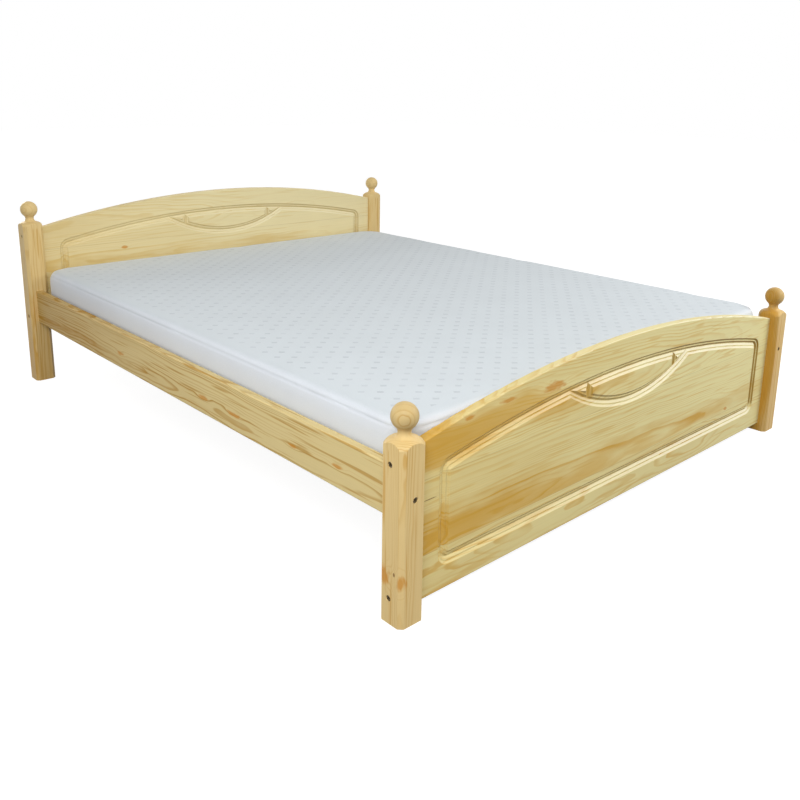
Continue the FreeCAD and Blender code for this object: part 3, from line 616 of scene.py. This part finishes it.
def varnished_rails():
    knots = {
        "left_side_rail": [
            Knot((-0.831, 0.286, 0.274), size=0.006, stretch=3.5),
            Knot((-0.831, -0.229, 0.273), size=0.005, stretch=4.5),
            Knot((-0.831, -0.383, 0.270), size=0.006, stretch=5.0),
            Knot((-0.831, -0.647, 0.271), size=0.005, stretch=3.5),
            Knot((-0.831, -0.818, 0.279), size=0.005, stretch=3.5),
        ],
        "right_side_rail": [
            Knot((0.831, 0.420, 0.300), size=0.008, stretch=4.0),
            Knot((0.831, -0.370, 0.262), size=0.009, stretch=3.5),
        ],
    }
    pith_share, pith_drop, pith_slope = 0.988, 0.030, 0.010
    first_seed = 31.0
    for number, (name, places) in enumerate(knots.items()):
        low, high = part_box(name)
        middle = (low + high) / 2
        pith = (middle.x * pith_share, middle.z - pith_drop)
        board = Board(pith, slope=math.copysign(pith_slope, middle.x), heart=0.020, tone=0.14,
                      seed=first_seed + number, fade=0.40)
        material = pine(name + "_pine", "Y", [board], RAIL_PALE, RAIL_AMBER, knots=places, ring_width=0.0070,
                        wander=0.036, contrast=0.95, streaks=0.7, specular=0.05)
        paint(material, name)


def planed_frame():
    """The hidden pine: ledger strips, centre beam, cleats, centre leg and slats, planed and not varnished."""
    grain = {"left_ledger_strip": "Y", "right_ledger_strip": "Y", "center_beam": "Y", "foot_beam_cleat": "X",
             "head_beam_cleat": "X", "center_leg": "Z"}
    grain.update({name: "X" for name in nodes if name.startswith("slat_") and name != "slat_screws"})
    # Each piece has its pith below it, and lean moves it and changes the tone from piece to piece
    lean_step, pith_side, pith_drop, pith_spread, tone_spread = 2.4, 0.020, 0.034, 0.012, 0.1
    first_seed = 50.0
    for number, (name, along) in enumerate(grain.items()):
        low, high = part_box(name)
        middle = (low + high) / 2
        first, second = (middle[axis] for axis in GRAIN_ORDER[along][1:])
        lean = math.sin(lean_step * number)
        pith = (first + pith_side * lean, second - pith_drop - pith_spread * lean)
        board = Board(pith, slope=0.0, heart=0.030, tone=tone_spread * lean, seed=first_seed + number)
        material = pine(name + "_pine", along, [board], PLANED_PALE, PLANED_AMBER, wander=0.02, contrast=0.6,
                        coat=0.0, specular=0.4, roughness=0.62)
        paint(material, name)


def beech_dowels():
    """Beech, with short dark flecks along the grain."""
    for name, along in (("panel_dowels", "X"), ("rail_dowels", "Y")):
        material, tree = new_material(name + "_beech")
        place = along_grain(tree, split_axes(tree, object_place(tree)), GRAIN_ORDER[along])
        fleck = grain_noise(tree, place, FLECK, FLECK_SEED)
        finish_material(tree, {
            "Base Color": mix_colors(tree, step_up(tree, fleck, *FLECK_RISE), BEECH_PALE, BEECH_DARK),
            "Roughness": between(tree, fleck, *BEECH_ROUGHNESS),
            "Normal": bump(tree, fleck, *BEECH_BUMP),
        })
        paint(material, name)


# Hardware

def plated(name, colour, dull, roughness, metallic=0.9):
    """Plated or coated steel, with a fine mottle and duller patches."""
    material, tree = new_material(name)
    point = object_place(tree)
    mottle = noise(tree, point, MOTTLE_DETAIL, MOTTLE_SCALE).outputs[0]
    patch = noise(tree, point, scale=DULL_SCALE).outputs[0]
    finish_material(tree, {
        "Base Color": mix_colors(tree, step_up(tree, patch, *DULL_RISE), colour, dull),
        "Metallic": metallic,
        "Roughness": between(tree, mottle, roughness - MOTTLE_DROP, roughness + MOTTLE_RISE),
        "Normal": bump(tree, mottle, *MOTTLE_BUMP),
    })
    return material


def hardware():
    bronze = plated("bolt_bronze", BRONZE, BRONZE_WORN, BRONZE_ROUGHNESS, BRONZE_METAL)
    zinc = plated("nut_zinc", ZINC, ZINC_DULL, ZINC_ROUGHNESS)
    yellow_zinc = plated("screw_zinc", YELLOW_ZINC, YELLOW_ZINC_DULL, YELLOW_ZINC_ROUGHNESS)
    paint(bronze, "panel_bolts", "rail_bolts")
    paint(zinc, "panel_barrel_nuts", "rail_barrel_nuts", "leg_stud")
    paint(yellow_zinc, "ledger_screws", "slat_screws", "cleat_screws")


# Mattress

def round_edges(shape, edges, offset, steps):
    bmesh.ops.bevel(shape, geom=edges, offset=offset, segments=steps, profile=ROUND_PROFILE, affect="EDGES",
                    material=-1)


def soft_block(low, high, corner, edge):
    """A block with round corners seen from above, and rounded edges."""
    shape = bmesh.new()
    size = high - low
    place = Matrix.Translation((low + high) / 2) @ Matrix.Diagonal((*size, 1))
    bmesh.ops.create_cube(shape, size=1.0, matrix=place)
    upright = [line for line in shape.edges if abs(line.verts[0].co.z - line.verts[1].co.z) > size.z / 2]
    round_edges(shape, upright, corner, CORNER_STEPS)
    shape.normal_update()
    rims = [line for line in shape.edges if line.calc_face_angle(0) > SHARP_ANGLE]
    round_edges(shape, rims, edge, EDGE_STEPS)
    return shape


def new_piece(name, shape):
    """An object at the origin, with smooth faces."""
    bmesh.ops.recalc_face_normals(shape, faces=shape.faces)
    mesh = bpy.data.meshes.new(name)
    shape.to_mesh(mesh)
    shape.free()
    mesh.shade_smooth()
    piece = bpy.data.objects.new(name, mesh)
    bpy.context.scene.collection.objects.link(piece)
    return piece


def apply_modifiers(piece):
    ready = piece.evaluated_get(bpy.context.evaluated_depsgraph_get())
    piece.data = bpy.data.meshes.new_from_object(ready)
    piece.modifiers.clear()


def points(mesh):
    flat = np.empty(len(mesh.vertices) * 3, np.float32)
    mesh.vertices.foreach_get("co", flat)
    return flat.reshape(-1, 3)


def move_points(mesh, places):
    mesh.vertices.foreach_set("co", places.astype(np.float32).ravel())
    mesh.update()


def crown_top(mesh, half):
    places = points(mesh)
    bow_x, bow_y = (1 - (places[:, axis] / half[axis]) ** 2 for axis in (0, 1))
    upper = places[:, 2] > places[:, 2].mean()
    places[:, 2] += CROWN * bow_x * bow_y * upper
    move_points(mesh, places)


def fill_with_air(piece, low, high):
    """Swell the cover in a cloth simulation: the top rises and the sides draw in between their edges.

    A point moves by no more than the caps, and stays in the CAD solid's space.
    """
    start = points(piece.data)
    cloth = piece.modifiers.new("air", "CLOTH")
    cloth.settings.use_pressure = True
    cloth.settings.uniform_pressure_force = AIR_PRESSURE
    cloth.settings.effector_weights.gravity = 0.0
    for number in range(1, AIR_FRAMES + 1):
        bpy.context.scene.frame_set(number)
    apply_modifiers(piece)
    bpy.context.scene.frame_set(1)
    caps = np.array((SIDE_MOVE, SIDE_MOVE, SWELL))
    moves = np.clip(points(piece.data) - start, -caps, caps)
    move_points(piece.data, np.clip(start + moves, low, high))


def sew(shape, height):
    """A seam round the sides: a narrow groove drawn into the cover."""
    for level in (height - SEAM_HALF_WIDTH, height, height + SEAM_HALF_WIDTH):
        parts = shape.verts[:] + shape.edges[:] + shape.faces[:]
        bmesh.ops.bisect_plane(shape, geom=parts, plane_co=(0, 0, level), plane_no=(0, 0, 1), dist=SEAM_SNAP)
        for vert in shape.verts:
            if abs(vert.co.z - level) <= SEAM_SNAP:
                vert.co.z = level
    shape.normal_update()
    for vert in shape.verts:
        away = abs(vert.co.z - height) / SEAM_HALF_WIDTH
        if away < 1:
            inward = Vector((-vert.normal.x, -vert.normal.y, 0)).normalized()
            vert.co += inward * SEAM_DEPTH * (1 - away)


def quilt(mesh, half):
    """The top sinks a little at each row of dashes."""
    places = points(mesh)
    across, along = (places[:, axis] / DASH_PITCH[axis] for axis in (0, 1))
    sink = (np.cos(np.pi * (across + along)) * np.cos(np.pi * (across - along))) ** 2
    for axis in (0, 1):
        sink *= np.clip((half[axis] - PLAIN_BAND - np.abs(places[:, axis])) / PLAIN_BAND, 0, 1)
    upper = places[:, 2] > places[:, 2].mean()
    places[:, 2] -= QUILT_DEPTH * sink * upper
    move_points(mesh, places)


def dash_mask(tree, across, along):
    """Pairs of short strokes, one pair in the middle of each cell."""
    local = [times(tree, calc(tree, "SUBTRACT", calc(tree, "FRACT", value), HALF_CELL), pitch)
             for value, pitch in zip((across, along), DASH_PITCH)]
    turn = {"Vector": join_axes(tree, {0: local[0], 1: local[1]}), "Angle": -DASH_TURN}
    turned = node(tree, "VectorRotate", turn, rotation_type="Z_AXIS").outputs[0]
    length, width = split_axes(tree, turned)[:2]
    ends = [DASH_HALF_LENGTH * share for share in DASH_END]
    sides = [DASH_GAP * share for share in DASH_SIDE]
    within = step_up(tree, calc(tree, "ABSOLUTE", length), *ends)
    line = calc(tree, "ABSOLUTE", calc(tree, "SUBTRACT", calc(tree, "ABSOLUTE", width), DASH_GAP))
    cell = join_axes(tree, {0: calc(tree, "FLOOR", across), 1: calc(tree, "FLOOR", along)})
    depth = node(tree, "TexWhiteNoise", {"Vector": cell}, noise_dimensions="2D").outputs["Value"]
    within = times(tree, within, between(tree, depth, FAINTEST_DASH, 1.0))
    return times(tree, within, step_up(tree, line, *sides))


def knit(seam, edge, half):
    """White knitted cover: small loops all over, and embossed dashes on the top above the seam."""
    material, tree = new_material("mattress_knit")
    point = object_place(tree)
    axes = split_axes(tree, point)
    top = step_up(tree, axes[2], (seam + edge) / 2, edge)
    across, along = (calc(tree, "DIVIDE", axes[axis], DASH_PITCH[axis]) for axis in (0, 1))
    moved_across, moved_along = (calc(tree, "ADD", value, HALF_CELL) for value in (across, along))
    dashes = calc(tree, "ADD", dash_mask(tree, across, along), dash_mask(tree, moved_across, moved_along))
    for axis in (0, 1):
        rim = half[axis] - PLAIN_BAND
        inside = step_up(tree, calc(tree, "ABSOLUTE", axes[axis]), rim, rim - BAND_BLEND)
        dashes = times(tree, dashes, inside)
    dashes = times(tree, dashes, top)

    side = calc(tree, "SUBTRACT", 1.0, top)
    course = calc(tree, "MULTIPLY_ADD", side, axes[1], axes[0])
    wale = calc(tree, "ADD", times(tree, top, axes[1]), times(tree, side, axes[2]))
    waves = [calc(tree, "SINE", times(tree, value, 2 * math.pi / pitch))
             for value, pitch in zip((course, wale), LOOP_PITCH)]
    loops = times(tree, *waves)
    fuzz = noise(tree, point, scale=FUZZ_SCALE).outputs[0]
    cloud = noise(tree, point, scale=CLOUD_SCALE).outputs[0]
    colour = mix_colors(tree, top, KNIT_BORDER, KNIT_TOP)
    colour = mix_colors(tree, dashes, colour, KNIT_DASH)
    shade = calc(tree, "ADD", between(tree, fuzz, *FUZZ_SHADE), between(tree, cloud, *CLOUD_SHADE))
    height = calc(tree, "MULTIPLY_ADD", loops, LOOP_RELIEF, times(tree, dashes, -1.0))
    finish_material(tree, {
        "Base Color": shaded(tree, colour, shade),
        "Roughness": between(tree, fuzz, *KNIT_ROUGHNESS),
        "Sheen Weight": 0.15,
        "Sheen Roughness": 0.5,
        "Normal": bump(tree, height, *KNIT_BUMP),
    })
    return material


def mattress():
    low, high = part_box("mattress_cover")
    half = (high - low) / 2
    block_low = low + Vector((COVER_INSET, COVER_INSET, COVER_LIFT))
    block_high = high - Vector((COVER_INSET, COVER_INSET, SWELL + CROWN))
    cover = new_piece("mattress_padding", soft_block(block_low, block_high, CORNER_RADIUS, EDGE_RADIUS))
    remesh = cover.modifiers.new("even_mesh", "REMESH")
    remesh.mode = "VOXEL"
    remesh.voxel_size = VOXEL
    apply_modifiers(cover)
    crown_top(cover.data, half)
    fill_with_air(cover, low, high)
    smooth = cover.modifiers.new("smooth", "SUBSURF")
    smooth.levels = smooth.render_levels = 1
    apply_modifiers(cover)
    edge = high.z - CROWN
    seam = edge - SEAM_DROP
    shape = bmesh.new()
    shape.from_mesh(cover.data)
    sew(shape, seam)
    sew(shape, low.z + SEAM_DROP)
    shape.to_mesh(cover.data)
    shape.free()
    quilt(cover.data, half)
    cover.data.shade_smooth()
    cover.data.materials.append(knit(seam, edge, half))
    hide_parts("mattress_cover")
    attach(cover, "mattress")


def foam():
    """Cream foam with open pores, darkened in the pores as painted shade."""
    material, tree = new_material("mattress_foam")
    inputs = {"Vector": object_place(tree), "Scale": PORE_SCALE}
    pores = node(tree, "TexVoronoi", inputs).outputs["Distance"]
    finish_material(tree, {
        # Painted shade in the pores
        "Base Color": mix_colors(tree, step_up(tree, pores, *PORE_FALL), FOAM_CREAM, FOAM_PORE_SHADE),
        "Roughness": between(tree, pores, *FOAM_ROUGHNESS),
        "Normal": bump(tree, pores, *FOAM_BUMP),
    })
    return material


def foam_core():
    low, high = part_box("mattress_core")
    inset = Vector((FOAM_INSET, FOAM_INSET, FOAM_INSET))
    shape = soft_block(low + inset, high - inset, FOAM_CORNER_RADIUS, FOAM_EDGE_RADIUS)
    core = new_piece("foam_block", shape)
    core.data.materials.append(foam())
    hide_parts("mattress_core")
    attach(core, "mattress")


# Studio

def photo_camera():
    data = bpy.data.cameras.new("photo_camera")
    data.sensor_width = CAMERA_SENSOR
    data.lens = CAMERA_LENS
    data.shift_x, data.shift_y = CAMERA_SHIFT
    camera = bpy.data.objects.new("photo_camera", data)
    bpy.context.scene.collection.objects.link(camera)
    aim = Euler((math.radians(90 - CAMERA_TILT), 0, -math.radians(CAMERA_HEADING))).to_matrix().to_4x4()
    roll = Matrix.Rotation(-math.radians(CAMERA_ROLL), 4, "Z")
    camera.matrix_world = Matrix.Translation(CAMERA_PLACE) @ aim @ roll
    bpy.context.scene.camera = camera


def seen_rays(tree):
    """1 for rays from the camera and for those that a glossy or clear surface sends on, else 0."""
    rays = node(tree, "LightPath").outputs
    seen = calc(tree, "MAXIMUM", rays["Is Camera Ray"], rays["Is Glossy Ray"])
    return calc(tree, "MAXIMUM", seen, rays["Is Transmission Ray"])


def new_lamp(name, kind, power, aim):
    data = bpy.data.lights.new(name, kind)
    data.energy = power
    lamp = bpy.data.objects.new(name, data)
    bpy.context.scene.collection.objects.link(lamp)
    lamp.visible_camera = False
    lamp.rotation_euler = aim.to_track_quat("-Z", "Y").to_euler()
    return lamp


def studio_light():
    world = bpy.data.worlds.new("studio")
    bpy.context.scene.world = world
    world.use_nodes = True
    tree = world.node_tree
    tree.nodes.clear()
    strength = between(tree, seen_rays(tree), SKY_LIGHT, SKY_SEEN)
    sky = node(tree, "Background", {"Color": WHITE, "Strength": strength})
    node(tree, "OutputWorld", {"Surface": sky.outputs[0]})
    room = new_lamp("room_light", "SUN", SUN_STRENGTH, Vector(SUN_AIM))
    room.data.angle = SUN_SPREAD
    for name, (place, power) in SOFTBOXES.items():
        softbox = new_lamp(name, "AREA", power, Vector(SOFTBOX_TARGET) - Vector(place))
        softbox.location = place
        softbox.data.size = SOFTBOX_SIDE


def studio_floor():
    shape = bmesh.new()
    bmesh.ops.create_grid(shape, x_segments=1, y_segments=1, size=FLOOR_HALF)
    floor = new_piece("floor", shape)
    material, tree = new_material("floor_white")
    paper = node(tree, "BsdfDiffuse", {"Color": FLOOR_GREY})
    glow = node(tree, "Emission", {"Color": WHITE, "Strength": times(tree, seen_rays(tree), FLOOR_GLOW)})
    both = node(tree, "AddShader", {0: paper.outputs[0], 1: glow.outputs[0]})
    node(tree, "OutputMaterial", {"Surface": both.outputs[0]})
    floor.data.materials.append(material)


varnished_posts()
varnished_footboard()
varnished_headboard()
varnished_rails()
planed_frame()
beech_dowels()
hardware()
mattress()
foam_core()
photo_camera()
studio_light()
studio_floor()
bpy.context.scene.view_settings.view_transform = "Standard"
